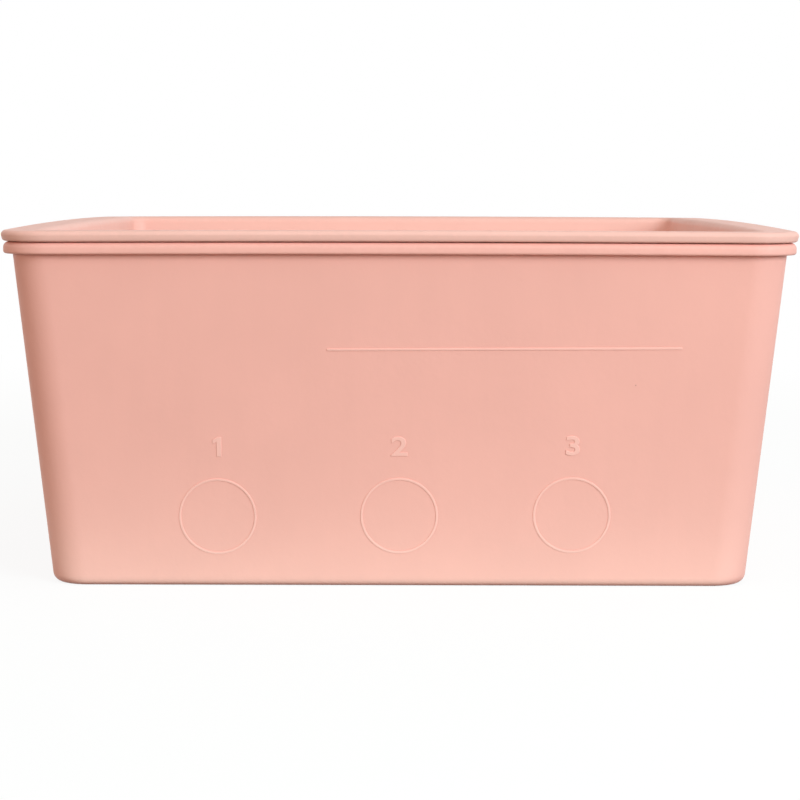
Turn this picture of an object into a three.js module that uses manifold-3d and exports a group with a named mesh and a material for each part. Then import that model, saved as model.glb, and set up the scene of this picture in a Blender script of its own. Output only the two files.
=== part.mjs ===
// Stackable feed box for a stable: a thin-walled moulded tub and the lid that drops into its mouth.
// Millimetres, +Z up. The origin is the centre of the plane the tub's foot stands on,
// X runs across the marked front, and the front faces -Y.

import * as THREE from 'three';
import { mergeVertices } from 'three/addons/utils/BufferGeometryUtils.js';
import Module from 'manifold-3d';

const wasm = await Module();
wasm.setup();

// Overall outline, measured at the lid's widest edge
const LID_LENGTH = 320;
const LID_DEPTH = 360;
const LID_CORNER_RADIUS = 21;

// Crown of the lip and the rim: how far they rise between the corners, at the middle of each side
const SIDE_CROWN = 1.2;
const END_CROWN = 0.5;

// Tub walls and floor
const TUB_HEIGHT = 139.4;
const TUB_WALL = 2.4;
const TUB_FLOOR = 2.6;
const TUB_CORNER_RADIUS = 15.5;
const WALL_LEAN = 13.2;
const FOOT_FILLET = 4.2;
const INNER_FILLET = 4;

// Foot ring and the raised panel inside it
const FOOT_RING_WIDTH = 8;
const PANEL_RISE = 1;
const PANEL_CORNER_RADIUS = 6;

// Turned-down lip round the tub's mouth
const LIP_SETBACK = 0.9;
const LIP_OVERHANG = 3.85;
const LIP_HEIGHT = 4.7;
const LIP_SKIRT = 2;
const LIP_SLOT_DEPTH = 1.7;
const LIP_CORNER_RADIUS = 20;
const LIP_TOP_ROUND = 2.3;
const LIP_LOWER_ROUND = 1;
const MOUTH_ROUND = 0.8;

// Lid rim: a flat flange with a turned-down edge that rests on the tub's lip
const SEAT_GAP = 0.3;
const RIM_HEIGHT = 4.3;
const RIM_SKIRT = 3.4;
const RIM_SLANT = 0.35;
const RIM_TOP_ROUND = 2;
const RIM_LOWER_ROUND = 1.2;
const LID_WALL = 2.4;

// Recess of the lid, where the foot of the next box stands
const RECESS_DEPTH = 12;
const RECESS_CORNER_RADIUS = 7;
const RECESS_EDGE_ROUND = 3;
const RECESS_FILLET = 2;
const STACK_CLEARANCE = 1.3;

// Rib under the rim that centres the lid in the mouth
const RIB_DEPTH = 6;
const RIB_THICKNESS = 1.8;
const RIB_CLEARANCE = 0.8;
const RIB_LEAD_IN = 0.6;

// Raised marks on the front: a write-on line above three rings
const MARK_HEIGHT = 0.3;
const MARK_WIDTH = 0.9;
const MARK_CHAMFER = 0.25;
const MARK_ROOT = 0.8;
const LINE_LENGTH = 141.6;
const LINE_CENTRE = 41.8;
const LINE_LEVEL = 97.8;
const RING_RADIUS = 15.2;
const RING_LEVEL = 29.6;
const RING_PLACES = [-73.2, 0, 69.6];

// Gate marks, where the mould was filled, under the tub and under the lid
const GATE_RADIUS = 6;
const GATE_DEPTH = 0.6;
const GATE_NUB_RADIUS = 1.5;
const GATE_NUB_HEIGHT = 0.4;

// Fineness of the curves
const CORNERS = 4;
const CORNER_STEPS = 12;
const SIDE_STEPS = 6;
const ROUND_STEPS = 4;
const TURN_STEPS = 48;

const QUARTER_TURN = Math.PI / 2;

// Heights that follow from the sizes above
const LIP_UNDERSIDE = TUB_HEIGHT - LIP_HEIGHT;
const FLOOR_TOP = PANEL_RISE + TUB_FLOOR;
const RIM_UNDERSIDE = TUB_HEIGHT + SEAT_GAP;
const LID_TOP = RIM_UNDERSIDE + RIM_HEIGHT;
const FLANGE_UNDERSIDE = LID_TOP - LID_WALL;
const RECESS_FLOOR = LID_TOP - RECESS_DEPTH;
const LEAN_ANGLE = Math.atan2(WALL_LEAN, LIP_UNDERSIDE);

// How far the tub's outer wall lies inside the lid's outline at a height.
function wallInset(height) {
  const lean = WALL_LEAN * (LIP_UNDERSIDE - height) / LIP_UNDERSIDE;
  return LIP_SETBACK + LIP_OVERHANG + lean;
}

// How far the crown lifts a point of the lip or the rim: most at the middle of a side,
// nothing at the corners.
function crownAt(x, y) {
  const shareX = (2 * x / LID_LENGTH) ** 2;
  const shareY = (2 * y / LID_DEPTH) ** 2;
  return SIDE_CROWN * shareX * (1 - shareY) + END_CROWN * shareY * (1 - shareX);
}

// A station is one rounded rectangle of a shell: how far it lies inside the lid's outline,
// its height and its corner radius. A run of stations is lofted into a surface.
function station(inset, height, radius) {
  return { inset, height, radius, isCrowned: false };
}

// The same stations, with the crown of the lip and the rim.
function crowned(stations) {
  return stations.map((plain) => ({ ...plain, isCrowned: true }));
}

// Stations round an edge or a fillet, about a centre, from one slope angle to another.
// An angle of zero faces outwards, and a quarter turn faces up.
function roundedStations(centre, size, from, to) {
  const run = [];
  for (let step = 0; step <= ROUND_STEPS; step++) {
    const angle = from + (to - from) * step / ROUND_STEPS;
    const out = size * Math.cos(angle);
    run.push(station(centre.inset - out, centre.height + size * Math.sin(angle), centre.radius + out));
  }
  return run;
}

// The points of one station, anticlockwise from above: each corner's arc, then the side after it.
function stationPoints({ inset, height, radius, isCrowned }) {
  const alongX = LID_LENGTH / 2 - inset - radius;
  const alongY = LID_DEPTH / 2 - inset - radius;
  const arcs = [];
  for (let corner = 0; corner < CORNERS; corner++) {
    const diagonal = QUARTER_TURN * (corner + 0.5);
    const centre = new THREE.Vector2(
      alongX * Math.sign(Math.cos(diagonal)),
      alongY * Math.sign(Math.sin(diagonal)),
    );
    const arc = [];
    for (let step = 0; step <= CORNER_STEPS; step++) {
      const angle = QUARTER_TURN * (corner + step / CORNER_STEPS);
      arc.push(new THREE.Vector2(radius * Math.cos(angle), radius * Math.sin(angle)).add(centre));
    }
    arcs.push(arc);
  }
  const outline = arcs.flatMap((arc, corner) => {
    const from = arc[CORNER_STEPS];
    const to = arcs[(corner + 1) % CORNERS][0];
    const side = [];
    for (let step = 1; step < SIDE_STEPS; step++) {
      side.push(from.clone().lerp(to, step / SIDE_STEPS));
    }
    return [...arc, ...side];
  });
  return outline.flatMap(({ x, y }) => [x, y, isCrowned ? height + crownAt(x, y) : height]);
}

// A closed shell: its stations run from the middle of the underside, out, up and over the rim,
// and back to the middle of the upper side.
function loftShell(stations) {
  const positions = stations.flatMap(stationPoints);
  const count = CORNERS * (CORNER_STEPS + SIDE_STEPS);
  const last = (stations.length - 1) * count;
  const underCentre = stations.length * count;
  const upperCentre = underCentre + 1;
  positions.push(0, 0, stations[0].height, 0, 0, stations[stations.length - 1].height);
  const faces = [];
  for (let point = 0; point < count; point++) {
    const next = (point + 1) % count;
    faces.push(underCentre, next, point, upperCentre, last + point, last + next);
    for (let row = 0; row < last; row += count) {
      const a = row + point;
      const b = row + next;
      faces.push(a, b, b + count, a, b + count, a + count);
    }
  }
  const geometry = new THREE.BufferGeometry();
  geometry.setAttribute('position', new THREE.Float32BufferAttribute(positions, 3));
  geometry.setIndex(faces);
  return geometry;
}

// Between three.js geometry and manifold solids
function toSolid(geometry) {
  const bare = geometry.clone();
  bare.deleteAttribute('normal');
  bare.deleteAttribute('uv');
  const merged = mergeVertices(bare);
  return new wasm.Manifold(new wasm.Mesh({
    numProp: 3,
    vertProperties: new Float32Array(merged.attributes.position.array),
    triVerts: new Uint32Array(merged.index.array),
  }));
}

function toGeometry(solid) {
  const mesh = solid.getMesh();
  const geometry = new THREE.BufferGeometry();
  geometry.setAttribute('position', new THREE.BufferAttribute(mesh.vertProperties, 3));
  geometry.setIndex(new THREE.BufferAttribute(mesh.triVerts, 1));
  geometry.computeVertexNormals();
  return geometry;
}

// A solid of revolution about Z from a closed outline of [radius, height] points.
function turned(outline) {
  const points = outline.map(([radius, height]) => new THREE.Vector2(radius, height));
  points.push(points[0].clone());
  return new THREE.LatheGeometry(points, TURN_STEPS).rotateX(QUARTER_TURN);
}

// Cross-section of a raised mark: [across, out of the wall], with its root inside the wall.
function markOutline() {
  const side = MARK_WIDTH / 2;
  const crest = side - MARK_CHAMFER;
  const shoulder = MARK_HEIGHT - MARK_CHAMFER;
  return [[-side, -MARK_ROOT], [side, -MARK_ROOT], [side, shoulder], [crest, MARK_HEIGHT],
    [-crest, MARK_HEIGHT], [-side, shoulder]];
}

// Moves a mark from the XY plane onto the leaning front wall, centred at a place and level.
function ontoFront(geometry, place, level) {
  const across = new THREE.Vector3(1, 0, 0);
  const up = new THREE.Vector3(0, -Math.sin(LEAN_ANGLE), Math.cos(LEAN_ANGLE));
  const outward = new THREE.Vector3().crossVectors(across, up);
  const front = wallInset(level) - LID_DEPTH / 2;
  const matrix = new THREE.Matrix4().makeBasis(across, up, outward).setPosition(place, front, level);
  return geometry.applyMatrix4(matrix);
}

function ringMark(place) {
  const outline = markOutline().map(([across, out]) => [RING_RADIUS + across, out]);
  return ontoFront(turned(outline), place, RING_LEVEL);
}

function lineMark() {
  const shape = new THREE.Shape(markOutline().map(([across, out]) => new THREE.Vector2(-out, across)));
  const bar = new THREE.ExtrudeGeometry(shape, { depth: LINE_LENGTH, bevelEnabled: false });
  bar.translate(0, 0, -LINE_LENGTH / 2).rotateY(QUARTER_TURN);
  return ontoFront(bar, LINE_CENTRE, LINE_LEVEL);
}

// A dished gate mark with a small nub, cut into an underside at a height.
function withGateMark(solid, underside) {
  const dish = turned([[0, -GATE_DEPTH], [GATE_RADIUS, -GATE_DEPTH], [GATE_RADIUS, 0],
    [GATE_RADIUS - GATE_DEPTH, GATE_DEPTH], [0, GATE_DEPTH]]);
  const nub = turned([[0, GATE_DEPTH - GATE_NUB_HEIGHT], [GATE_NUB_RADIUS, GATE_DEPTH - GATE_NUB_HEIGHT],
    [GATE_NUB_RADIUS, GATE_DEPTH + GATE_NUB_HEIGHT], [0, GATE_DEPTH + GATE_NUB_HEIGHT]]);
  dish.translate(0, 0, underside);
  nub.translate(0, 0, underside);
  return solid.subtract(toSolid(dish)).add(toSolid(nub));
}

// Tub

function footStations() {
  const fillet = {
    inset: wallInset(FOOT_FILLET - FOOT_FILLET * Math.sin(LEAN_ANGLE)) + FOOT_FILLET * Math.cos(LEAN_ANGLE),
    height: FOOT_FILLET,
    radius: TUB_CORNER_RADIUS - FOOT_FILLET * Math.cos(LEAN_ANGLE),
  };
  const ringInner = fillet.inset + FOOT_RING_WIDTH;
  return [
    station(ringInner + PANEL_RISE, PANEL_RISE, PANEL_CORNER_RADIUS - PANEL_RISE),
    station(ringInner, 0, PANEL_CORNER_RADIUS),
    ...roundedStations(fillet, FOOT_FILLET, -QUARTER_TURN, -LEAN_ANGLE),
  ];
}

function lipStations() {
  const slotTop = LIP_UNDERSIDE + LIP_SLOT_DEPTH;
  const skirtInner = LIP_SETBACK + LIP_SKIRT;
  const lower = {
    inset: LIP_SETBACK + LIP_LOWER_ROUND,
    height: LIP_UNDERSIDE + LIP_LOWER_ROUND,
    radius: LIP_CORNER_RADIUS - LIP_LOWER_ROUND,
  };
  const upper = {
    inset: LIP_SETBACK + LIP_TOP_ROUND,
    height: TUB_HEIGHT - LIP_TOP_ROUND,
    radius: LIP_CORNER_RADIUS - LIP_TOP_ROUND,
  };
  return crowned([
    station(wallInset(LIP_UNDERSIDE), LIP_UNDERSIDE, TUB_CORNER_RADIUS),
    station(wallInset(slotTop), slotTop, TUB_CORNER_RADIUS),
    station(skirtInner, slotTop, LIP_CORNER_RADIUS - LIP_SKIRT),
    station(skirtInner, LIP_UNDERSIDE, LIP_CORNER_RADIUS - LIP_SKIRT),
    ...roundedStations(lower, LIP_LOWER_ROUND, -QUARTER_TURN, 0),
    ...roundedStations(upper, LIP_TOP_ROUND, 0, QUARTER_TURN),
  ]);
}

// The inside, from the rounded edge of the mouth down to the floor
function innerStations() {
  const innerRadius = TUB_CORNER_RADIUS - TUB_WALL;
  const mouth = {
    inset: wallInset(TUB_HEIGHT - MOUTH_ROUND) + TUB_WALL - MOUTH_ROUND,
    height: TUB_HEIGHT - MOUTH_ROUND,
    radius: innerRadius + MOUTH_ROUND,
  };
  const filletLevel = FLOOR_TOP + INNER_FILLET;
  const fillet = {
    inset: wallInset(filletLevel) + TUB_WALL + INNER_FILLET,
    height: filletLevel,
    radius: innerRadius - INNER_FILLET,
  };
  return [
    ...crowned(roundedStations(mouth, MOUTH_ROUND, QUARTER_TURN, 2 * QUARTER_TURN)),
    ...roundedStations(fillet, INNER_FILLET, 0, -QUARTER_TURN),
  ];
}

function feedTub() {
  const shell = toSolid(loftShell([...footStations(), ...lipStations(), ...innerStations()]));
  let tub = withGateMark(shell, PANEL_RISE).add(toSolid(lineMark()));
  for (const place of RING_PLACES) {
    tub = tub.add(toSolid(ringMark(place)));
  }
  return toGeometry(tub);
}

// Lid

// How far the recess's wall lies inside the lid's outline: it runs parallel to the foot of the
// next box, which stands on the recess floor with the stacking clearance all round.
function recessInset(height) {
  return wallInset(height - RECESS_FLOOR) - STACK_CLEARANCE;
}

// Centre of the fillet between the recess's wall and its floor
function recessFilletCentre() {
  return {
    inset: recessInset(RECESS_FLOOR + RECESS_FILLET) + RECESS_FILLET,
    height: RECESS_FLOOR + RECESS_FILLET,
    radius: RECESS_CORNER_RADIUS - RECESS_FILLET,
  };
}

function recessUndersideStations() {
  return [
    ...roundedStations(recessFilletCentre(), RECESS_FILLET + LID_WALL, -QUARTER_TURN, 0),
    ...crowned([
      station(recessInset(FLANGE_UNDERSIDE) - LID_WALL, FLANGE_UNDERSIDE, RECESS_CORNER_RADIUS + LID_WALL),
    ]),
  ];
}

// The centring rib, parallel to the tub's inner wall
function ribStations() {
  const ribFoot = TUB_HEIGHT - RIB_DEPTH;
  const radius = TUB_CORNER_RADIUS - TUB_WALL - RIB_CLEARANCE;
  const outer = (height) => wallInset(height) + TUB_WALL + RIB_CLEARANCE;
  const inner = outer(ribFoot) + RIB_THICKNESS;
  return crowned([
    station(inner, FLANGE_UNDERSIDE, radius - RIB_THICKNESS),
    station(inner, ribFoot, radius - RIB_THICKNESS),
    station(outer(ribFoot) + RIB_LEAD_IN, ribFoot, radius - RIB_LEAD_IN),
    station(outer(ribFoot + RIB_LEAD_IN), ribFoot + RIB_LEAD_IN, radius),
    station(outer(TUB_HEIGHT), TUB_HEIGHT, radius),
    station(outer(TUB_HEIGHT), FLANGE_UNDERSIDE, radius),
  ]);
}

function rimStations() {
  const lower = {
    inset: RIM_SLANT + RIM_LOWER_ROUND,
    height: RIM_UNDERSIDE + RIM_LOWER_ROUND,
    radius: LID_CORNER_RADIUS - RIM_SLANT - RIM_LOWER_ROUND,
  };
  const upper = {
    inset: RIM_TOP_ROUND,
    height: LID_TOP - RIM_TOP_ROUND,
    radius: LID_CORNER_RADIUS - RIM_TOP_ROUND,
  };
  return crowned([
    station(RIM_SKIRT, FLANGE_UNDERSIDE, LID_CORNER_RADIUS - RIM_SKIRT),
    station(RIM_SKIRT, RIM_UNDERSIDE, LID_CORNER_RADIUS - RIM_SKIRT),
    ...roundedStations(lower, RIM_LOWER_ROUND, -QUARTER_TURN, 0),
    ...roundedStations(upper, RIM_TOP_ROUND, 0, QUARTER_TURN),
  ]);
}

function recessStations() {
  const edge = {
    inset: recessInset(LID_TOP - RECESS_EDGE_ROUND) - RECESS_EDGE_ROUND,
    height: LID_TOP - RECESS_EDGE_ROUND,
    radius: RECESS_CORNER_RADIUS + RECESS_EDGE_ROUND,
  };
  return [
    ...crowned(roundedStations(edge, RECESS_EDGE_ROUND, QUARTER_TURN, 2 * QUARTER_TURN)),
    ...roundedStations(recessFilletCentre(), RECESS_FILLET, 0, -QUARTER_TURN),
  ];
}

function feedLid() {
  const shell = loftShell([
    ...recessUndersideStations(),
    ...ribStations(),
    ...rimStations(),
    ...recessStations(),
  ]);
  return toGeometry(withGateMark(toSolid(shell), RECESS_FLOOR - LID_WALL));
}

// Assembly

const tubPlastic = new THREE.MeshStandardMaterial({ color: 0xf2b9a8, roughness: 0.5, metalness: 0 });
const lidPlastic = new THREE.MeshStandardMaterial({ color: 0xf4beae, roughness: 0.5, metalness: 0 });

const group = new THREE.Group();

function addPiece(name, geometry, material) {
  const piece = new THREE.Mesh(geometry, material);
  piece.name = name;
  group.add(piece);
}

addPiece('feed_tub', feedTub(), tubPlastic);
addPiece('lid', feedLid(), lidPlastic);

export default group;
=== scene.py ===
"""Stackable feed box for a stable: a moulded tub, its drop-on lid and the raised marks on its front.

Metres, +Z up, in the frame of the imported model: X runs across the marked front, the front faces -Y,
and the tub's foot stands on the plane z = 0.
"""
import math
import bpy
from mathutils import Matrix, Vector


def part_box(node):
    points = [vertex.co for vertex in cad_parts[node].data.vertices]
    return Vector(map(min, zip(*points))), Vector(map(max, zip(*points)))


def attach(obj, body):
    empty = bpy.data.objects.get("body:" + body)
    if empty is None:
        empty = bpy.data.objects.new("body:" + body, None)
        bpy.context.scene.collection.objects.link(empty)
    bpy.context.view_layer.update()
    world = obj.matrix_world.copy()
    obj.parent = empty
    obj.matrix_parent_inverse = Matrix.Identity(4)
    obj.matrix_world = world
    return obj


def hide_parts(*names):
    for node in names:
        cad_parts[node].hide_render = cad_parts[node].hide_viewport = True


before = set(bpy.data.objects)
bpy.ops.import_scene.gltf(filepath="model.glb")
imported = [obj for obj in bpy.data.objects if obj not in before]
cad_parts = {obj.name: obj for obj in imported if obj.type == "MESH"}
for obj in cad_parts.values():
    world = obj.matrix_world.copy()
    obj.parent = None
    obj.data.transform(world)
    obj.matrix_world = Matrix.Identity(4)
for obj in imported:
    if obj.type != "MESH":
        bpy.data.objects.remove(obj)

from types import SimpleNamespace

import bpy
import numpy as np
from mathutils import Matrix, Vector

bl_info = {
    "name": "Stable Feed Box",
    "version": (1, 0, 0),
    "blender": (4, 5, 0),
    "location": "3D View > Sidebar > Feed Box",
    "description": "Makes a stackable feed box with a drop-on lid, and the stage it is shown on",
    "category": "Add Mesh",
}

MM = 0.001
QUARTER_TURN = math.pi / 2
WHITE = (1.0, 1.0, 1.0, 1.0)

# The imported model's own box, and the lid's, which gives the lid's length and depth
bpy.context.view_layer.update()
LID_LOW, LID_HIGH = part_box("lid")
LID_EXTENT = LID_HIGH - LID_LOW

# Fineness of the surfaces
CORNER_STEPS = 20
SIDE_STEPS = 30
ROUND_STEPS = 8
ROW_SPACING = 1.5 * MM
MOST_ROWS = 26
RING_STEPS = 144
CREST_STEPS = 14
BEVEL_STEPS = 2

# Directions between which an arc of a profile turns, in quarter turns from outwards
DOWN, OUTWARD, UP, INWARD = -1, 0, 1, 2

# How much each kind of edge is rubbed, and the column of a profile that holds it
UPPER_WEAR, RECESS_WEAR, LOWER_WEAR = 1.0, 0.6, 0.5
WEAR_COLUMN = 4

# Power of sine and cosine in the marks' cross-section, where 1 gives an ellipse and less is squarer
CREST_POWER = 0.4

# Outline of the number 1, in shares of its height
ONE_OUTLINE = ((0.083, -0.5), (0.083, 0.5), (-0.05, 0.5), (-0.24, 0.36), (-0.24, 0.19),
               (-0.083, 0.3), (-0.083, -0.5))

# The three rings, which the numbers stand above
RING_SIDES = ("left", "middle", "right")

# Noises in the plastic, each as its scale per metre, its levels of detail and their roughness
CLOUDS = (22.0, 3.0, 0.55)
FLOW_MARKS = (160.0, 2.0, 0.5)
PEEL = (260.0, 2.0, 0.5)
RUBBING = (420.0, 4.0, 0.65)
GRAIN = (2600.0, 2.0, 0.6)

# Scale along each axis that draws the flow marks out upwards
FLOW_SCALE = (1.0, 1.0, 0.12)

# Levels between which a noise mostly stays, and those between which the rubbed patches set in
NOISE_RANGE = (0.3, 0.7)
PATCH_RANGE = (0.45, 0.7)

# Dark grains: cells to the metre, and the radii of a grain's core and of its soft edge, in cells
SPECK_CELLS = 62.0
SPECK_RADII = (0.012, 0.024)

# Sockets of a Mix node for colours, whose names its sockets for plain numbers have too
MIX_SHARE, MIX_FIRST, MIX_SECOND, MIX_RESULT = 0, 6, 7, 2


# Kinds of settings, and the groups that a user can change

def length(name, description, millimetres):
    """A size in metres whose default is given in millimetres."""
    return bpy.props.FloatProperty(name=name, description=description, default=millimetres * MM,
                                   unit="LENGTH", precision=5)


def share(name, description, value):
    """A plain number from 0 to 1."""
    return bpy.props.FloatProperty(name=name, description=description, default=value,
                                   min=0.0, max=1.0, subtype="FACTOR")


def colour(name, description, value):
    """A colour in linear light."""
    return bpy.props.FloatVectorProperty(name=name, description=description, default=value,
                                         size=3, min=0.0, max=1.0, subtype="COLOR")


def angle(name, description, degrees):
    """An angle whose default is given in degrees."""
    return bpy.props.FloatProperty(name=name, description=description, default=math.radians(degrees),
                                   unit="ROTATION", subtype="ANGLE")


def watts(name, description, value):
    """The power of a lamp."""
    return bpy.props.FloatProperty(name=name, description=description, default=value, min=0.0,
                                   unit="POWER")


def place(name, description, value):
    """A place in metres."""
    return bpy.props.FloatVectorProperty(name=name, description=description, default=value,
                                         size=3, unit="LENGTH", subtype="TRANSLATION")


class FeedBoxSizes(bpy.types.PropertyGroup):
    """Sizes of the tub and the lid"""

    lid_length: length("Lid length", "Across the marked front, at the rim's widest edge",
                       LID_EXTENT.x / MM)
    lid_depth: length("Lid depth", "From front to back, at the rim's widest edge", LID_EXTENT.y / MM)
    lid_corner: length("Lid corner", "Corner radius of the rim", 21)
    side_crown: length("Side crown", "How far lip and rim rise along the sides", 1.2)
    end_crown: length("End crown", "How far lip and rim rise along the front and the back", 0.5)

    tub_height: length("Tub height", "From the foot to the top of the lip, at the corners", 139.4)
    tub_wall: length("Tub wall", "Thickness of the tub's wall", 2.4)
    tub_floor: length("Tub floor", "Thickness of the tub's floor", 2.6)
    tub_corner: length("Tub corner", "Corner radius of the tub's wall", 15.5)
    wall_lean: length("Wall lean", "How much further in the wall stands at the foot than at the lip",
                      13.2)
    foot_fillet: length("Foot fillet", "Rounding between the wall and the foot", 4.2)
    inner_fillet: length("Inner fillet", "Rounding between the wall and the floor inside", 4)
    foot_ring: length("Foot ring", "Width of the ring the tub stands on", 8)
    panel_rise: length("Panel rise", "How far the panel inside the foot ring is raised", 1)
    panel_corner: length("Panel corner", "Corner radius of the raised panel", 6)

    lip_setback: length("Lip setback", "How far the lip stands back from the lid's rim", 0.9)
    lip_overhang: length("Lip overhang", "How far the lip stands out from the wall", 3.85)
    lip_height: length("Lip height", "Height of the turned-down lip", 4.7)
    lip_skirt: length("Lip skirt", "Thickness of the turned-down lip", 2)
    lip_slot: length("Lip slot", "Depth of the slot behind the turned-down lip", 1.7)
    lip_corner: length("Lip corner", "Corner radius of the lip", 20)
    lip_top_round: length("Lip top round", "Rounding of the lip's upper edge", 2.3)
    lip_lower_round: length("Lip lower round", "Rounding of the lip's lower edge", 1)
    mouth_round: length("Mouth round", "Rounding of the mouth's inner edge", 0.8)

    seat_gap: length("Seat gap", "Gap between the lip and the rim", 0.3)
    rim_height: length("Rim height", "Height of the lid's turned-down rim", 4.3)
    rim_skirt: length("Rim skirt", "Thickness of the turned-down rim", 3.4)
    rim_slant: length("Rim slant", "How much the rim's edge draws in towards its lower edge", 0.35)
    rim_top_round: length("Rim top round", "Rounding of the rim's upper edge", 2)
    rim_lower_round: length("Rim lower round", "Rounding of the rim's lower edge", 1.2)
    lid_wall: length("Lid wall", "Thickness of the lid", 2.4)

    recess_depth: length("Recess depth", "From the rim down to the recess floor", 12)
    recess_corner: length("Recess corner", "Corner radius of the recess", 7)
    recess_edge: length("Recess edge", "Rounding between the rim and the recess wall", 3)
    recess_fillet: length("Recess fillet", "Rounding between the recess wall and its floor", 2)
    stack_clearance: length("Stack clearance", "Room round the next box's foot in the recess", 1.3)

    rib_depth: length("Rib depth", "How far the centring rib reaches into the mouth", 6)
    rib_thickness: length("Rib thickness", "Thickness of the centring rib", 1.8)
    rib_clearance: length("Rib clearance", "Room between the rib and the tub's wall", 0.8)
    rib_lead_in: length("Rib lead-in", "Chamfer at the rib's lower edge", 0.6)

    gate_radius: length("Gate radius", "Radius of the dish round a gate mark", 6)
    gate_depth: length("Gate depth", "Depth of the dish round a gate mark", 0.6)
    nub_radius: length("Nub radius", "Radius of the nub that the gate leaves", 1.5)
    nub_height: length("Nub height", "Height of the nub that the gate leaves", 0.4)
    gate_bevel: length("Gate bevel", "Bevel at the edges of the dish and the nub", 0.1)


class FeedBoxMarks(bpy.types.PropertyGroup):
    """Sizes and places of the raised marks on the front"""

    height: length("Mark height", "How far the marks stand out from the wall", 0.27)
    width: length("Mark width", "Width of the line and the rings", 0.9)
    root: length("Mark root", "How far the marks reach into the wall", 0.6)
    tilt: angle("Mark tilt", "How much all the marks together rise to the right", 0.33)
    line_length: length("Line length", "Length of the write-on line", 141.6)
    line_centre: length("Line centre", "Place of the line's middle across the front", 41.8)
    line_level: length("Line level", "Height at which the line crosses the front's middle", 97.2)
    ring_radius: length("Ring radius", "Middle radius of the rings", 15.2)
    ring_level: length("Ring level", "Height of the rings' centres, in the front's middle", 29.45)
    ring_left: length("Left ring", "Place of the left ring across the front", -73.2)
    ring_middle: length("Middle ring", "Place of the middle ring across the front", 0)
    ring_right: length("Right ring", "Place of the right ring across the front", 69.6)
    number_height: length("Number height", "Height of the numbers above the rings", 8)
    number_rise: length("Number rise", "How far the numbers' centres lie above the rings'", 28.55)
    number_edge: length("Number edge", "Bevel round the numbers' crest", 0.12)
    number_weight: length("Number weight", "How far the numbers' strokes are widened", 0.06)
    number_stretch: bpy.props.FloatProperty(
        name="Number stretch", description="How much wider the numbers are than the font's",
        default=1.3, min=1.0)
    number_crease: angle("Number crease", "Angle from which the numbers' edges look sharp", 35)


class FeedBoxFinish(bpy.types.PropertyGroup):
    """Colours and finish of the moulded plastic"""

    tub_colour: colour("Tub colour", "Salmon pink of the tub", (0.87, 0.434, 0.375))
    # The lid's pink is partly its own colour and partly painted sheen: it is set paler and less
    # saturated than the tub's
    lid_colour_and_sheen: colour("Lid colour", "Salmon pink of the lid", (0.825, 0.468, 0.406))
    # On the marks' crests this paler pink is painted sheen; on rubbed edges it is real wear
    sheen_and_wear_colour: colour("Crest colour", "Paler pink of the marks and of rubbed edges",
                         (0.92, 0.498, 0.437))
    speck_colour: colour("Speck colour", "Dark grains in the plastic", (0.35, 0.12, 0.09))
    speck_strength: share("Speck strength", "How much of their colour the dark grains show", 0.45)
    speckless: share("Speckless share", "Share of the cells that have no dark grain", 0.72)
    clouding: share("Clouding", "Strength of the clouds in the tint", 0.02)
    flow: share("Flow marks", "Strength of the flow marks in the tint", 0.005)
    wear: share("Wear", "Strength of the rubbed edges", 0.35)
    refraction: bpy.props.FloatProperty(
        name="Refraction", description="Index of refraction of polypropylene", default=1.49, min=1.0)
    gloss: share("Gloss", "Specular level of the satin surface", 0.18)
    roughness: share("Roughness", "Roughness of the satin surface", 0.48)
    crest_roughness: share("Crest roughness", "Roughness of the marks' crests", 0.34)
    roughness_swing: share("Roughness swing", "How far the roughness moves up and down", 0.05)
    worn_roughness: share("Worn roughness", "How much rougher a fully rubbed place is", 0.25)
    peel_strength: share("Peel strength", "Strength of the slow waves in the surface", 0.25)
    peel_height: length("Peel height", "Height of the slow waves in the surface", 0.3)
    grain_strength: share("Grain strength", "Strength of the mould's fine grain", 0.18)
    grain_height: length("Grain height", "Height of the mould's fine grain", 0.06)


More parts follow.
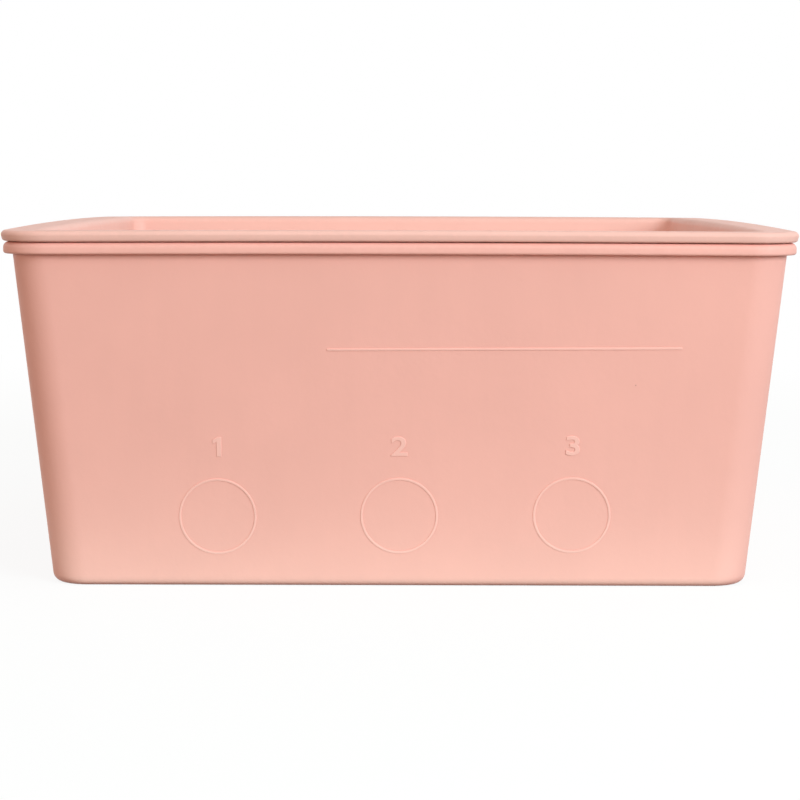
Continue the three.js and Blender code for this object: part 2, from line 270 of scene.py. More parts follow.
class FeedBoxStage(bpy.types.PropertyGroup):
    """Camera, lamps and surroundings"""

    camera_place: place("Camera place", "Where the camera stands", (0.0019, -1.095, 0.1648))
    camera_tilt: angle("Camera tilt", "How far the camera looks down", 5.43)
    camera_turn: angle("Camera turn", "How far the camera turns to the left", 0.102)
    camera_roll: angle("Camera roll", "How far the camera leans to the left", 0.13)
    camera_lens: bpy.props.FloatProperty(name="Camera lens", description="Focal length",
                                         default=104.67, unit="CAMERA")
    fill_colour: colour("Fill colour", "Tint of the soft light from all round", (1.0, 0.895, 0.79))
    fill_strength: share("Fill strength", "Strength of the soft light from all round", 0.47)
    key_colour: colour("Key colour", "Tint of the main lamp in front to the right", (0.8, 0.965, 1.0))
    key_power: watts("Key power", "Power of the main lamp", 42.6)
    key_place: place("Key place", "Where the main lamp stands", (1.254, -1.663, 0.8))
    key_size: length("Key size", "Width and height of the main lamp", 1050)
    front_colour: colour("Front colour", "Tint of the weak lamp in front to the left",
                         (1.0, 0.84, 0.64))
    front_power: watts("Front power", "Power of the weak lamp in front", 15.5)
    front_place: place("Front place", "Where the weak lamp in front stands", (-2.0, -1.4, 0.3))
    front_size: length("Front size", "Width and height of the weak lamp in front", 1500)
    back_colour: colour("Back colour", "Tint of the weak lamp behind to the right", (0.8, 0.97, 1.0))
    back_power: watts("Back power", "Power of the weak lamp behind", 15.0)
    back_place: place("Back place", "Where the weak lamp behind stands", (0.9, 2.1, 0.45))
    back_size: length("Back size", "Width and height of the weak lamp behind", 1500)
    top_colour: colour("Top colour", "Tint of the softbox overhead", (0.68, 0.97, 1.0))
    top_power: watts("Top power", "Power of the softbox overhead", 3.7)
    top_place: place("Top place", "Where the softbox hangs", (0.1, -0.35, 1.4))
    top_size: length("Top size", "Length of the softbox's sides", 1400)
    card_colour: colour("Card colour", "Tint of the strip of light before the foot", (0.5, 0.97, 0.95))
    card_power: watts("Card power", "Power of the strip of light", 0.028)
    card_place: place("Card place", "Where the strip of light lies", (0.0, -0.182, 0.0005))
    card_width: length("Card width", "Width of the strip of light across the front", 340)
    card_depth: length("Card depth", "Depth of the strip of light", 40)
    floor_width: length("Floor width", "Width of the floor", 24000)
    floor_colour: colour("Floor colour", "Colour that the floor throws back", (0.26, 0.195, 0.155))
    floor_glow: share("Floor glow", "How much of the floor's look near the box is plain white", 0.9)
    floor_near: length("Floor near", "Distance at which the shadow begins to fade", 450)
    floor_far: length("Floor far", "Distance from which the floor looks plain white", 1100)


# Profiles, and the surfaces that they sweep round the box

def levels(sizes):
    """The heights that follow from the sizes, and the angle at which the wall leans."""
    lip_underside = sizes.tub_height - sizes.lip_height
    rim_underside = sizes.tub_height + sizes.seat_gap
    lid_top = rim_underside + sizes.rim_height
    return SimpleNamespace(
        lip_underside=lip_underside,
        floor_top=sizes.panel_rise + sizes.tub_floor,
        rim_underside=rim_underside,
        lid_top=lid_top,
        flange_underside=lid_top - sizes.lid_wall,
        recess_floor=lid_top - sizes.recess_depth,
        lean=math.atan2(sizes.wall_lean, lip_underside),
    )


def wall_inset(sizes, height):
    """How far the tub's outer wall lies inside the lid's outline at a height.

    It is the lip's setback and overhang, plus the lean, which grows evenly from the lip to the foot.
    """
    underside = levels(sizes).lip_underside
    return sizes.lip_setback + sizes.lip_overhang + sizes.wall_lean * (underside - height) / underside


def row(inset, height, corner, crown=0.0, wear=0.0):
    """One row of a profile: a rounded rectangle that lies the inset inside the lid's outline, at a
    height, with a corner radius, a share of the crown and a share of wear."""
    return np.array([[inset, height, corner, crown, wear]])


def rounded(inset, height, corner, size, start, stop, crown=0.0, wear=0.0):
    """Rows round an edge or a fillet: an arc about a centre, from one direction to another.

    The arc goes out by its size times the cosine, which shortens the inset and widens the corner, and
    up by its size times the sine.
    """
    turn = np.linspace(start, stop, ROUND_STEPS + 1) * QUARTER_TURN
    out = size * np.cos(turn)
    rise = size * np.sin(turn)
    return np.stack([inset - out, height + rise, corner + out, 0 * turn + crown, 0 * turn + wear], 1)


def eased(count):
    """Shares from 0 up to, but without, 1, closer together near both ends: half of one minus the
    cosine."""
    return (1 - np.cos(math.pi * np.arange(count) / count)) / 2


def refined(profile):
    """The profile with more rows along its long steps, closer together near their ends.

    The rows that are added lie between the two ends of a step, and take the lesser wear of the two.
    """
    steps = []
    for start, stop in zip(profile[:-1], profile[1:]):
        out, up = (stop - start)[:2]
        count = int(np.clip(np.ceil(np.hypot(out, up) / ROW_SPACING), 1, MOST_ROWS))
        step = start + (stop - start) * eased(count)[:, None]
        step[1:, WEAR_COLUMN] = min(start[WEAR_COLUMN], stop[WEAR_COLUMN])
        steps.append(step)
    return np.vstack([*steps, profile[-1:]])


def turn_shares():
    """One anticlockwise turn round a rounded rectangle: at each point the signs of its corner, and the
    direction in which the corner's arc faces there.

    The arc's direction turns evenly by a quarter turn at each corner. Along a side, signs and direction
    pass from one corner's end to the next one's start.
    """
    corner = np.arange(4)
    turn = (corner[:, None] + np.linspace(0, 1, CORNER_STEPS + 1)) * QUARTER_TURN
    facing = np.stack([np.cos(turn), np.sin(turn)], -1)
    diagonal = (corner + 0.5) * QUARTER_TURN
    signs = np.sign(np.stack([np.cos(diagonal), np.sin(diagonal)], -1))[:, None] + 0 * facing
    along = eased(SIDE_STEPS)[1:, None]

    def with_sides(values):
        end = values[:, -1:]
        start = np.roll(values[:, :1], -1, axis=0)
        return np.concatenate([values, end + (start - end) * along], axis=1).reshape(-1, 2)

    return with_sides(signs), with_sides(facing)


def half_size(sizes):
    """Half of the lid's length, and half of its depth."""
    return np.array([sizes.lid_length, sizes.lid_depth]) / 2


def shell_rows(sizes, profile):
    """The surface that a profile sweeps round the box, as rows of points.

    A point is its corner's centre, which is the half size less the inset and the corner radius, plus
    the corner radius in the arc's direction. The crown lifts it by the side crown times the square of
    its share of the half length, which fades to nothing with the square of its share of the half depth,
    and by the end crown the other way round.
    """
    signs, facing = turn_shares()
    inset, height, corner, crown = profile[:, :WEAR_COLUMN].T[:, :, None, None]
    half = half_size(sizes)
    flat = signs * (half - inset - corner) + facing * corner
    across, along = np.moveaxis((flat / half) ** 2, -1, 0)
    rise = sizes.side_crown * across * (1 - along) + sizes.end_crown * along * (1 - across)
    return np.concatenate([flat, height + crown * rise[..., None]], axis=-1)


def gate_rows(sizes, underside):
    """A dished gate mark with a nub in its middle, as circles from the centre outwards. Their points
    lie in the same directions as the lid's outline, so that the underside's rows can join the two."""
    roof = underside + sizes.gate_depth
    tip = roof - sizes.nub_height
    bevel = sizes.gate_bevel
    turned = np.array([
        (0.0, tip), (sizes.nub_radius - bevel, tip), (sizes.nub_radius, tip + bevel),
        (sizes.nub_radius, roof - bevel), (sizes.nub_radius + bevel, roof),
        (sizes.gate_radius - sizes.gate_depth - bevel, roof),
        (sizes.gate_radius - sizes.gate_depth, roof - bevel / 2),
        (sizes.gate_radius - bevel, underside + bevel / 2), (sizes.gate_radius, underside),
    ])
    signs, facing = turn_shares()
    direction = signs * half_size(sizes) + facing * sizes.lid_corner
    direction /= np.linalg.norm(direction, axis=1, keepdims=True)
    radius, height = turned.T[:, :, None, None]
    return np.concatenate([radius * direction, height + 0 * radius * direction[:, :1]], axis=-1)


def between(inner, outer, count):
    """Rows that pass from one row of points to another, without those two."""
    return inner + (outer - inner) * eased(count)[1:, None, None]


def whole_shell(sizes, profile, underside):
    """The rows of a closed shell, and each row's wear: the gate mark, the underside, the refined
    profile, and the upper floor as far as its centre."""
    profile = refined(profile)
    rows = shell_rows(sizes, profile)
    gate = gate_rows(sizes, underside)
    centre = np.zeros_like(rows[-1])
    centre[:, 2] = rows[-1, :, 2]
    panel = between(gate[-1], rows[0], MOST_ROWS)
    floor = between(rows[-1], centre, MOST_ROWS)
    wear = np.concatenate([np.zeros(len(gate) + len(panel)), profile[:, WEAR_COLUMN],
                           np.zeros(len(floor) + 1)])
    return np.concatenate([gate, panel, rows, floor, centre[None]]), wear


def pole_surface(rows):
    """Points and faces of a surface whose first and last rows shrink to one point each: the inner
    rows, joined by quads, and then the two end points, each with a fan."""
    count = rows.shape[1]
    index = np.arange(count * (len(rows) - 2)).reshape(-1, count)
    ahead = np.roll(index, -1, axis=1)
    quads = np.stack([index[:-1], ahead[:-1], ahead[1:], index[1:]], -1).reshape(-1, 4)
    first = np.stack([np.full(count, index.size), ahead[0], index[0]], -1)
    last = np.stack([np.full(count, index.size + 1), index[-1], ahead[-1]], -1)
    points = np.concatenate([rows[1:-1].reshape(-1, 3), rows[:1, 0], rows[-1:, 0]])
    return points, quads.tolist() + first.tolist() + last.tolist()


def loop_surface(rows):
    """Points and faces of a surface that closes on itself both ways."""
    points = rows.reshape(-1, 3)
    index = np.arange(len(points)).reshape(len(rows), -1)
    ahead = np.roll(index, -1, axis=1)
    over = np.roll(index, -1, axis=0)
    faces = np.stack([index, ahead, np.roll(ahead, -1, axis=0), over], -1).reshape(-1, 4)
    return points, faces.tolist()


def add_piece(context, name, points, faces, material, wear=None):
    """A smooth-shaded object at the origin made from points and faces, with its points' wear as an
    attribute."""
    mesh = bpy.data.meshes.new(name)
    mesh.from_pydata(points.tolist(), [], faces)
    mesh.shade_smooth()
    if wear is not None:
        attribute = mesh.attributes.new("wear", "FLOAT", "POINT")
        attribute.data.foreach_set("value", wear)
    mesh.materials.append(material)
    piece = bpy.data.objects.new(name, mesh)
    context.scene.collection.objects.link(piece)
    return piece


def add_shell(context, name, profile, underside, material):
    """A closed shell made from its profile. All the points of a row have the row's wear."""
    rows, wear = whole_shell(context.scene.feed_box_sizes, profile, underside)
    points, faces = pole_surface(rows)
    wear = np.concatenate([np.repeat(wear[1:-1], rows.shape[1]), wear[[0, -1]]])
    return add_piece(context, name, points, faces, material, wear)


# The tub and the lid

def tub_profile(sizes):
    """The tub from the raised panel out over the foot ring, up the wall, round the lip and down the
    inside to the floor."""
    at = levels(sizes)
    lean = at.lean / QUARTER_TURN
    foot_inset = (wall_inset(sizes, sizes.foot_fillet * (1 - math.sin(at.lean)))
                  + sizes.foot_fillet * math.cos(at.lean))
    foot_corner = sizes.tub_corner - sizes.foot_fillet * math.cos(at.lean)
    ring_inner = foot_inset + sizes.foot_ring
    slot_top = at.lip_underside + sizes.lip_slot
    skirt_inner = sizes.lip_setback + sizes.lip_skirt
    skirt_corner = sizes.lip_corner - sizes.lip_skirt
    inner_corner = sizes.tub_corner - sizes.tub_wall
    mouth_level = sizes.tub_height - sizes.mouth_round
    fillet_level = at.floor_top + sizes.inner_fillet
    return np.vstack([
        row(ring_inner + sizes.panel_rise, sizes.panel_rise, sizes.panel_corner - sizes.panel_rise),
        row(ring_inner, 0, sizes.panel_corner, wear=LOWER_WEAR),
        rounded(foot_inset, sizes.foot_fillet, foot_corner, sizes.foot_fillet, DOWN, -lean,
                wear=LOWER_WEAR),
        row(wall_inset(sizes, at.lip_underside), at.lip_underside, sizes.tub_corner, crown=1),
        row(wall_inset(sizes, slot_top), slot_top, sizes.tub_corner, crown=1),
        row(skirt_inner, slot_top, skirt_corner, crown=1),
        row(skirt_inner, at.lip_underside, skirt_corner, crown=1),
        rounded(sizes.lip_setback + sizes.lip_lower_round, at.lip_underside + sizes.lip_lower_round,
                sizes.lip_corner - sizes.lip_lower_round, sizes.lip_lower_round, DOWN, OUTWARD,
                crown=1, wear=LOWER_WEAR),
        rounded(sizes.lip_setback + sizes.lip_top_round, sizes.tub_height - sizes.lip_top_round,
                sizes.lip_corner - sizes.lip_top_round, sizes.lip_top_round, OUTWARD, UP,
                crown=1, wear=UPPER_WEAR),
        rounded(wall_inset(sizes, mouth_level) + sizes.tub_wall - sizes.mouth_round, mouth_level,
                inner_corner + sizes.mouth_round, sizes.mouth_round, UP, INWARD,
                crown=1, wear=UPPER_WEAR),
        rounded(wall_inset(sizes, fillet_level) + sizes.tub_wall + sizes.inner_fillet, fillet_level,
                inner_corner - sizes.inner_fillet, sizes.inner_fillet, OUTWARD, DOWN),
    ])


def recess_inset(sizes, height):
    """How far the recess's wall lies inside the lid's outline: parallel to the next box's foot, which
    stands on the recess floor with the stacking clearance all round."""
    return wall_inset(sizes, height - levels(sizes).recess_floor) - sizes.stack_clearance


def lid_profile(sizes):
    """The lid from the recess's underside out over the centring rib, round the rim and down the recess
    wall to its floor."""
    at = levels(sizes)
    fillet_level = at.recess_floor + sizes.recess_fillet
    fillet_inset = recess_inset(sizes, fillet_level) + sizes.recess_fillet
    fillet_corner = sizes.recess_corner - sizes.recess_fillet
    rib_foot = sizes.tub_height - sizes.rib_depth
    rib_corner = sizes.tub_corner - sizes.tub_wall - sizes.rib_clearance
    lead_top = rib_foot + sizes.rib_lead_in

    def rib_outer(height):
        return wall_inset(sizes, height) + sizes.tub_wall + sizes.rib_clearance

    rib_inner = rib_outer(rib_foot) + sizes.rib_thickness
    skirt_corner = sizes.lid_corner - sizes.rim_skirt
    lower_inset = sizes.rim_slant + sizes.rim_lower_round
    edge_level = at.lid_top - sizes.recess_edge
    return np.vstack([
        rounded(fillet_inset, fillet_level, fillet_corner, sizes.recess_fillet + sizes.lid_wall,
                DOWN, OUTWARD),
        row(recess_inset(sizes, at.flange_underside) - sizes.lid_wall, at.flange_underside,
            sizes.recess_corner + sizes.lid_wall, crown=1),
        row(rib_inner, at.flange_underside, rib_corner - sizes.rib_thickness, crown=1),
        row(rib_inner, rib_foot, rib_corner - sizes.rib_thickness, crown=1),
        row(rib_outer(rib_foot) + sizes.rib_lead_in, rib_foot, rib_corner - sizes.rib_lead_in,
            crown=1, wear=LOWER_WEAR),
        row(rib_outer(lead_top), lead_top, rib_corner, crown=1, wear=LOWER_WEAR),
        row(rib_outer(sizes.tub_height), sizes.tub_height, rib_corner, crown=1),
        row(rib_outer(sizes.tub_height), at.flange_underside, rib_corner, crown=1),
        row(sizes.rim_skirt, at.flange_underside, skirt_corner, crown=1),
        row(sizes.rim_skirt, at.rim_underside, skirt_corner, crown=1),
        rounded(lower_inset, at.rim_underside + sizes.rim_lower_round, sizes.lid_corner - lower_inset,
                sizes.rim_lower_round, DOWN, OUTWARD, crown=1, wear=LOWER_WEAR),
        rounded(sizes.rim_top_round, at.lid_top - sizes.rim_top_round,
                sizes.lid_corner - sizes.rim_top_round, sizes.rim_top_round, OUTWARD, UP,
                crown=1, wear=UPPER_WEAR),
        rounded(recess_inset(sizes, edge_level) - sizes.recess_edge, edge_level,
                sizes.recess_corner + sizes.recess_edge, sizes.recess_edge, UP, INWARD,
                crown=1, wear=RECESS_WEAR),
        rounded(fillet_inset, fillet_level, fillet_corner, sizes.recess_fillet, OUTWARD, DOWN),
    ])


# The raised marks on the front

def mark_section(marks):
    """Cross-section of a raised mark, as its place across and out of the wall: a half of a squared
    ellipse, whose sine and cosine are raised to a power, over a root that stays inside the wall."""
    turn = np.linspace(0, math.pi, CREST_STEPS)
    side = marks.width / 2
    across = side * np.sign(np.cos(turn)) * np.abs(np.cos(turn)) ** CREST_POWER
    out = marks.height * np.abs(np.sin(turn)) ** CREST_POWER
    return (np.concatenate([across, [-side, side]]),
            np.concatenate([out, [-marks.root, -marks.root]]))


def onto_front(sizes, marks, points, across, level):
    """Moves points from the XY plane onto the leaning front wall, centred at a place and a level: X
    stays across, Y runs up the wall and Z comes out of it. The marks' tilt turns each mark, and lifts
    its centre by the tangent of the tilt times its place across the front."""
    points = points @ np.array(Matrix.Rotation(marks.tilt, 3, "Z")).T
    level += across * math.tan(marks.tilt)
    lean = levels(sizes).lean
    sideways = (1, 0, 0)
    up = (0, -math.sin(lean), math.cos(lean))
    outward = (0, -math.cos(lean), -math.sin(lean))
    centre = (across, wall_inset(sizes, level) - sizes.lid_depth / 2, level)
    return points @ np.array([sideways, up, outward]) + centre


def ring_points(marks):
    """A raised ring: the mark's cross-section carried round a circle."""
    across, out = mark_section(marks)
    turn = np.linspace(0, 2 * math.pi, RING_STEPS, endpoint=False)
    radius = marks.ring_radius + across[:, None]
    return np.stack([radius * np.cos(turn), radius * np.sin(turn), out[:, None] + 0 * turn], -1)


def line_points(marks):
    """The write-on line: the mark's cross-section carried along a straight path. At its round ends
    the path goes on by the sine of a quarter turn, and the cosine draws the cross-section in."""
    across, out = mark_section(marks)
    turn = np.linspace(-QUARTER_TURN, 0, ROUND_STEPS + 1)
    straight = (marks.line_length - marks.width) / 2
    right_end = straight - np.sin(turn[::-1]) * marks.width / 2
    along = np.concatenate([-right_end[::-1], right_end])[:, None]
    scale = np.concatenate([np.cos(turn), np.cos(turn[::-1])])[:, None]
    return np.stack([along + 0 * across, scale * across, scale * out], -1)


def number_outline(marks, text):
    """A number as a flat curve: Blender's own lettering, and for the 1, which is a bare bar there, an
    outline with a flag."""
    if text != "1":
        curve = bpy.data.curves.new("number", "FONT")
        curve.body = text
        curve.size = marks.number_height
        curve.offset = marks.number_weight
        return curve
    curve = bpy.data.curves.new("number", "CURVE")
    curve.dimensions = "2D"
    curve.fill_mode = "BOTH"
    outline = curve.splines.new("POLY")
    outline.points.add(len(ONE_OUTLINE) - 1)
    for point, (across, up) in zip(outline.points, ONE_OUTLINE):
        point.co = (across * marks.number_height, up * marks.number_height, 0, 1)
    outline.use_cyclic_u = True
    return curve


def curve_mesh(context, curve):
    """Points and faces of a curve, which is taken away again."""
    holder = bpy.data.objects.new("number", curve)
    context.scene.collection.objects.link(holder)
    evaluated = holder.evaluated_get(context.evaluated_depsgraph_get())
    mesh = bpy.data.meshes.new_from_object(evaluated)
    points = np.zeros(len(mesh.vertices) * 3)
    mesh.vertices.foreach_get("co", points)
    faces = [list(polygon.vertices) for polygon in mesh.polygons]
    bpy.data.objects.remove(holder)
    bpy.data.curves.remove(curve)
    bpy.data.meshes.remove(mesh)
    return points.reshape(-1, 3), faces


def number_mesh(context, marks, text):
    """Points and faces of a raised number, centred across and up: it is drawn out to the numbers'
    height and stretch, and lifted until it stands out by the marks' height."""
    curve = number_outline(marks, text)
    curve.extrude = (marks.height + marks.root) / 2 - marks.number_edge
    curve.bevel_depth = marks.number_edge
    curve.bevel_resolution = BEVEL_STEPS
    points, faces = curve_mesh(context, curve)
    low, high = points.min(0), points.max(0)
    points -= (low + high) / 2
    points[:, :2] *= marks.number_height / (high[1] - low[1])
    points[:, 0] *= marks.number_stretch
    points[:, 2] += marks.height - (high[2] - low[2]) / 2
    return points, faces


def add_mark(context, name, points, faces, across, level):
    """A raised mark of polished plastic on the front wall, centred at a place and a level; its paler
    colour is painted sheen.
    """
    scene = context.scene
    placed = onto_front(scene.feed_box_sizes, scene.feed_box_marks, points, across, level)
    return add_piece(context, name, placed, faces, crest_plastic(scene.feed_box_finish))


# Shader nodes

def set_inputs(tree, node, inputs):
    """Gives each of a node's inputs, by name or number, a value or a link to another node's output."""
    for key, value in inputs.items():
        if isinstance(value, bpy.types.NodeSocket):
            tree.links.new(value, node.inputs[key])
        else:
            node.inputs[key].default_value = value


def add_node(tree, kind, inputs=None, **settings):
    """A node with its inputs and its settings."""
    node = tree.nodes.new(kind)
    for name, value in settings.items():
        setattr(node, name, value)
    set_inputs(tree, node, inputs or {})
    return node


def calculated(tree, operation, *values):
    """The result of a mathematical operation on numbers or outputs."""
    node = add_node(tree, "ShaderNodeMath", dict(enumerate(values)), operation=operation)
    return node.outputs["Value"]


def noise(tree, where, kind):
    """A noise in space, of a kind that is its scale, detail and roughness."""
    scale, detail, roughness = kind
    inputs = {"Vector": where, "Scale": scale, "Detail": detail, "Roughness": roughness}
    return add_node(tree, "ShaderNodeTexNoise", inputs).outputs["Fac"]


def spread(tree, value, given, wanted, **settings):
    """A value carried over from a given range to a wanted one, and held at its ends."""
    inputs = {"Value": value, "From Min": given[0], "From Max": given[1],
              "To Min": wanted[0], "To Max": wanted[1]}
    return add_node(tree, "ShaderNodeMapRange", inputs, **settings).outputs["Result"]


def wavering(tree, noise_level, middle, swing):
    """A level that a noise moves up and down from a middle."""
    return spread(tree, noise_level, NOISE_RANGE, (middle - swing, middle + swing))


def blended(tree, part, first, second):
    """A colour, with a part of it replaced by a second one."""
    inputs = {MIX_SHARE: part, MIX_FIRST: first, MIX_SECOND: second}
    return add_node(tree, "ShaderNodeMix", inputs, data_type="RGBA").outputs[MIX_RESULT]


def shader_mix(tree, part, first, second):
    """A shader, with a part of it replaced by a second one."""
    return add_node(tree, "ShaderNodeMixShader", {0: part, 1: first, 2: second}).outputs[0]


# The plastic

def mottled(tree, where, tint, finish):
    """A tint with faint clouds and with fainter flow marks, which are drawn out upwards."""
    flow_place = add_node(tree, "ShaderNodeMapping", {"Vector": where, "Scale": FLOW_SCALE})
    clouds = wavering(tree, noise(tree, where, CLOUDS), 1, finish.clouding)
    flow = wavering(tree, noise(tree, flow_place.outputs["Vector"], FLOW_MARKS), 1, finish.flow)
    level = calculated(tree, "MULTIPLY", clouds, flow)
    inputs = {"Value": level, "Color": (*tint, 1.0)}
    return add_node(tree, "ShaderNodeHueSaturation", inputs).outputs["Color"]


def speckled(tree, where, tint, finish):
    """A tint with a few dark grains: soft-edged dots in the cells whose colour has the most red."""
    cells = add_node(tree, "ShaderNodeTexVoronoi", {"Vector": where, "Scale": SPECK_CELLS})
    parts = add_node(tree, "ShaderNodeSeparateColor", {"Color": cells.outputs["Color"]})
    chosen = calculated(tree, "GREATER_THAN", parts.outputs["Red"], finish.speckless)
    dots = spread(tree, cells.outputs["Distance"], SPECK_RADII, (1, 0),
                  interpolation_type="SMOOTHSTEP")
    grains = calculated(tree, "MULTIPLY", chosen, dots)
    faint = calculated(tree, "MULTIPLY", grains, finish.speck_strength)
    return blended(tree, faint, tint, (*finish.speck_colour, 1.0))


def rubbing(tree, where, finish):
    """How much the surface is rubbed: its edges' wear, broken up into patches."""
    worn = add_node(tree, "ShaderNodeAttribute", attribute_name="wear").outputs["Fac"]
    patches = spread(tree, noise(tree, where, RUBBING), PATCH_RANGE, (0, 1))
    return calculated(tree, "MULTIPLY", calculated(tree, "MULTIPLY", worn, patches), finish.wear)


def uneven_normal(tree, where, peel, finish):
    """The surface's normal over its slow waves and the fine grain on them."""
    waves = add_node(tree, "ShaderNodeBump", {
        "Strength": finish.peel_strength, "Distance": finish.peel_height, "Height": peel})
    grain = add_node(tree, "ShaderNodeBump", {
        "Strength": finish.grain_strength, "Distance": finish.grain_height,
        "Height": noise(tree, where, GRAIN), "Normal": waves.outputs["Normal"]})
    return grain.outputs["Normal"]


def satin_plastic(name, tint, roughness, finish, specks=True):
    """Satin moulded polypropylene: an even tint with faint clouds and flow marks, a few dark grains,
    rubbed edges, and the fine grain of a spark-eroded mould on slow waves that move its roughness."""
    material = bpy.data.materials.new(name)
    material.use_nodes = True
    tree = material.node_tree
    where = add_node(tree, "ShaderNodeTexCoord").outputs["Object"]
    surface_tint = mottled(tree, where, tint, finish)
    if specks:
        surface_tint = speckled(tree, where, surface_tint, finish)
    peel = noise(tree, where, PEEL)
    rubbed = rubbing(tree, where, finish)
    rough = wavering(tree, peel, roughness, finish.roughness_swing)
    set_inputs(tree, tree.nodes["Principled BSDF"], {
        "IOR": finish.refraction,
        "Specular IOR Level": finish.gloss,
        "Base Color": blended(tree, rubbed, surface_tint, (*finish.sheen_and_wear_colour, 1.0)),
        "Roughness": calculated(tree, "MULTIPLY_ADD", rubbed, finish.worn_roughness, rough),
        "Normal": uneven_normal(tree, where, peel, finish),
    })
    return material


def crest_plastic(finish):
    """The tub's plastic where the mould was polished, shared by all the raised marks. Its paler colour
    is painted sheen; its lower roughness is the polish itself.
    """
    name = "crest_plastic"
    made = bpy.data.materials.get(name)
    return made or satin_plastic(name, finish.sheen_and_wear_colour, finish.crest_roughness, finish,
                                 specks=False)


# The stage

def seen_plainly(tree):
    """One where a ray comes from the camera, a reflection or a transmission, and nought elsewhere."""
    path = add_node(tree, "ShaderNodeLightPath").outputs
    plain = calculated(tree, "MAXIMUM", path["Is Camera Ray"], path["Is Glossy Ray"])
    return calculated(tree, "MAXIMUM", plain, path["Is Transmission Ray"])


def studio_world(stage):
    """Plain white where it is seen, and a soft even fill elsewhere."""
    world = bpy.data.worlds.new("studio")
    world.use_nodes = True
    tree = world.node_tree
    tree.nodes.clear()
    fill = add_node(tree, "ShaderNodeBackground", {
        "Color": (*stage.fill_colour, 1.0), "Strength": stage.fill_strength})
    white = add_node(tree, "ShaderNodeBackground", {"Color": WHITE, "Strength": 1.0})
    surface = shader_mix(tree, seen_plainly(tree), fill.outputs[0], white.outputs[0])
    add_node(tree, "ShaderNodeOutputWorld", {"Surface": surface})
    return world


def pale_floor(stage):
    """A matt floor that looks plain white from some way off, and keeps the box's shadow near it.

    Where it is seen, it is mostly white light over a white matt surface, and only white light from the
    far distance on. To other rays it is matt, in its own colour.
    """
    material = bpy.data.materials.new("pale_floor")
    material.use_nodes = True
    tree = material.node_tree
    tree.nodes.clear()
    where = add_node(tree, "ShaderNodeTexCoord").outputs["Object"]
    distance = add_node(tree, "ShaderNodeVectorMath", {0: where}, operation="LENGTH")
    glow = spread(tree, distance.outputs["Value"], (stage.floor_near, stage.floor_far),
                  (stage.floor_glow, 1), interpolation_type="SMOOTHSTEP")
    bounce = add_node(tree, "ShaderNodeBsdfDiffuse", {"Color": (*stage.floor_colour, 1.0)})
    matt = add_node(tree, "ShaderNodeBsdfDiffuse", {"Color": WHITE})
    white = add_node(tree, "ShaderNodeEmission", {"Color": WHITE, "Strength": 1.0})
    seen = shader_mix(tree, glow, matt.outputs[0], white.outputs[0])
    surface = shader_mix(tree, seen_plainly(tree), bounce.outputs[0], seen)
    add_node(tree, "ShaderNodeOutputMaterial", {"Surface": surface})
    return material


def add_lamp(context, name, power, tint, extent, where, towards, gleams=True):
    """A soft lamp of a width and a height, which stands at one place and faces another, and isn't
    seen itself. Where it doesn't gleam, it leaves no highlights either."""
    lamp = bpy.data.lights.new(name, "AREA")
    lamp.shape = "RECTANGLE"
    lamp.size, lamp.size_y = extent
    lamp.energy = power
    lamp.color = tint
    stand = bpy.data.objects.new(name, lamp)
    stand.location = where
    stand.rotation_euler = (Vector(towards) - Vector(where)).to_track_quat("-Z", "Y").to_euler()
    stand.visible_camera = False
    stand.visible_glossy = gleams
    context.scene.collection.objects.link(stand)


def add_camera(context, stage):
    """The camera at its place, with its lean, its look down and its turn, in that order."""
    camera = bpy.data.cameras.new("camera")
    camera.lens = stage.camera_lens
    stand = bpy.data.objects.new("camera", camera)
    facing = (Matrix.Rotation(stage.camera_turn, 4, "Z")
              @ Matrix.Rotation(QUARTER_TURN - stage.camera_tilt, 4, "X")
              @ Matrix.Rotation(stage.camera_roll, 4, "Z"))
    stand.matrix_world = Matrix.Translation(stage.camera_place) @ facing
    context.scene.collection.objects.link(stand)
    context.scene.camera = stand


# The operators, the panel and their registration

class FEEDBOX_OT_make_stage(bpy.types.Operator):
    """Make the floor, the surroundings, the lamps and the camera"""

    bl_idname = "feedbox.make_stage"
    bl_label = "Make Stage"

    def execute(self, context):
        stage = context.scene.feed_box_stage
        context.scene.view_settings.view_transform = "Standard"
        context.scene.world = studio_world(stage)
        corners = np.array([(-1, -1, 0), (1, -1, 0), (1, 1, 0), (-1, 1, 0)]) * stage.floor_width / 2
        add_piece(context, "floor", corners, [(0, 1, 2, 3)], pale_floor(stage))
        middle = (0, 0, levels(context.scene.feed_box_sizes).lid_top / 2)
        for name in ("key", "front", "back", "top"):
            power, tint, size, where = (getattr(stage, name + "_" + part)
                                        for part in ("power", "colour", "size", "place"))
            add_lamp(context, name + "_lamp", power, tint, (size, size), where, middle,
                     gleams=name != "back")
        above_card = Vector(stage.card_place) + Vector((0, 0, 1))
        add_lamp(context, "low_card", stage.card_power, stage.card_colour,
                 (stage.card_width, stage.card_depth), stage.card_place, above_card)
        add_camera(context, stage)
        return {"FINISHED"}


class FEEDBOX_OT_make_tub(bpy.types.Operator):
    """Make the tub: thin leaning walls, a turned-down lip, a foot ring and a dished gate mark"""

    bl_idname = "feedbox.make_tub"
    bl_label = "Make Tub"

    def execute(self, context):
        sizes, finish = context.scene.feed_box_sizes, context.scene.feed_box_finish
        material = satin_plastic("tub_plastic", finish.tub_colour, finish.roughness, finish)
        tub = add_shell(context, "tub_shell", tub_profile(sizes), sizes.panel_rise, material)
        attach(tub, "tub")
        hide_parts("feed_tub")
        return {"FINISHED"}


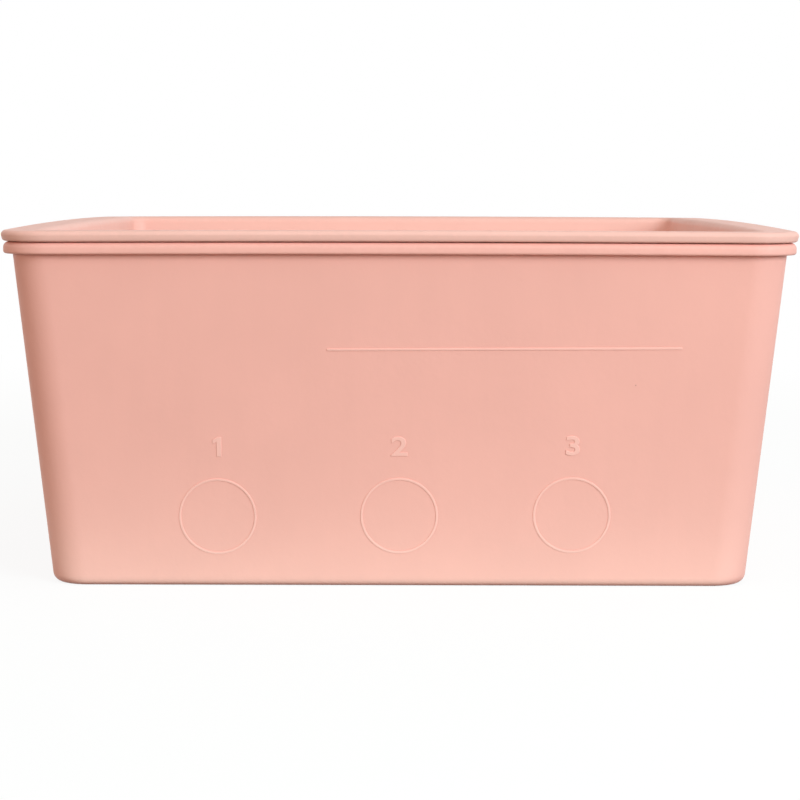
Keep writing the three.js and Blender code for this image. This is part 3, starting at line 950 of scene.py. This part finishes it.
class FEEDBOX_OT_make_lid(bpy.types.Operator):
    """Make the lid: a crowned rim, a recess for the next box's foot and a centring rib underneath"""

    bl_idname = "feedbox.make_lid"
    bl_label = "Make Lid"

    def execute(self, context):
        sizes, finish = context.scene.feed_box_sizes, context.scene.feed_box_finish
        underside = levels(sizes).recess_floor - sizes.lid_wall
        # The lid's tint is paler than the tub's as painted sheen
        material = satin_plastic("lid_plastic", finish.lid_colour_and_sheen, finish.roughness, finish)
        lid = add_shell(context, "lid_shell", lid_profile(sizes), underside, material)
        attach(lid, "lid")
        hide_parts("lid")
        return {"FINISHED"}


class FEEDBOX_OT_make_rings(bpy.types.Operator):
    """Make the three raised rings on the front"""

    bl_idname = "feedbox.make_rings"
    bl_label = "Make Rings"

    def execute(self, context):
        marks = context.scene.feed_box_marks
        points, faces = loop_surface(ring_points(marks))
        for side in RING_SIDES:
            across = getattr(marks, "ring_" + side)
            ring = add_mark(context, "ring_" + side, points, faces, across, marks.ring_level)
            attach(ring, "tub")
        return {"FINISHED"}


class FEEDBOX_OT_make_line(bpy.types.Operator):
    """Make the raised write-on line on the front"""

    bl_idname = "feedbox.make_line"
    bl_label = "Make Line"

    def execute(self, context):
        marks = context.scene.feed_box_marks
        points, faces = pole_surface(line_points(marks))
        line = add_mark(context, "write_on_line", points, faces, marks.line_centre, marks.line_level)
        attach(line, "tub")
        return {"FINISHED"}


class FEEDBOX_OT_make_numbers(bpy.types.Operator):
    """Make the raised numbers 1 to 3 above the rings"""

    bl_idname = "feedbox.make_numbers"
    bl_label = "Make Numbers"

    def execute(self, context):
        marks = context.scene.feed_box_marks
        level = marks.ring_level + marks.number_rise
        for text, side in zip("123", RING_SIDES):
            points, faces = number_mesh(context, marks, text)
            across = getattr(marks, "ring_" + side)
            number = add_mark(context, "number_" + text, points, faces, across, level)
            number.data.set_sharp_from_angle(angle=marks.number_crease)
            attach(number, "tub")
        return {"FINISHED"}


OPERATORS = (FEEDBOX_OT_make_stage, FEEDBOX_OT_make_tub, FEEDBOX_OT_make_lid, FEEDBOX_OT_make_rings,
             FEEDBOX_OT_make_line, FEEDBOX_OT_make_numbers)
GROUPS = {
    "feed_box_sizes": FeedBoxSizes,
    "feed_box_marks": FeedBoxMarks,
    "feed_box_finish": FeedBoxFinish,
    "feed_box_stage": FeedBoxStage,
}


class FEEDBOX_PT_sidebar(bpy.types.Panel):
    """Makes the feed box and shows its settings"""

    bl_idname = "FEEDBOX_PT_sidebar"
    bl_label = "Feed Box"
    bl_space_type = "VIEW_3D"
    bl_region_type = "UI"
    bl_category = "Feed Box"

    def draw(self, context):
        for operator in OPERATORS:
            self.layout.operator(operator.bl_idname)
        for name, group in GROUPS.items():
            box = self.layout.box()
            for setting in group.__annotations__:
                box.prop(getattr(context.scene, name), setting)


def register():
    """Registers the settings, the operators and the panel."""
    for name, group in GROUPS.items():
        bpy.utils.register_class(group)
        setattr(bpy.types.Scene, name, bpy.props.PointerProperty(type=group))
    for made in (*OPERATORS, FEEDBOX_PT_sidebar):
        bpy.utils.register_class(made)


def unregister():
    """Takes them away again."""
    for made in reversed((*OPERATORS, FEEDBOX_PT_sidebar)):
        bpy.utils.unregister_class(made)
    for name, group in GROUPS.items():
        delattr(bpy.types.Scene, name)
        bpy.utils.unregister_class(group)


def main():
    """Makes the stage and every piece."""
    register()
    bpy.ops.feedbox.make_stage()
    bpy.ops.feedbox.make_tub()
    bpy.ops.feedbox.make_lid()
    bpy.ops.feedbox.make_rings()
    bpy.ops.feedbox.make_line()
    bpy.ops.feedbox.make_numbers()


if __name__ == "__main__":
    main()
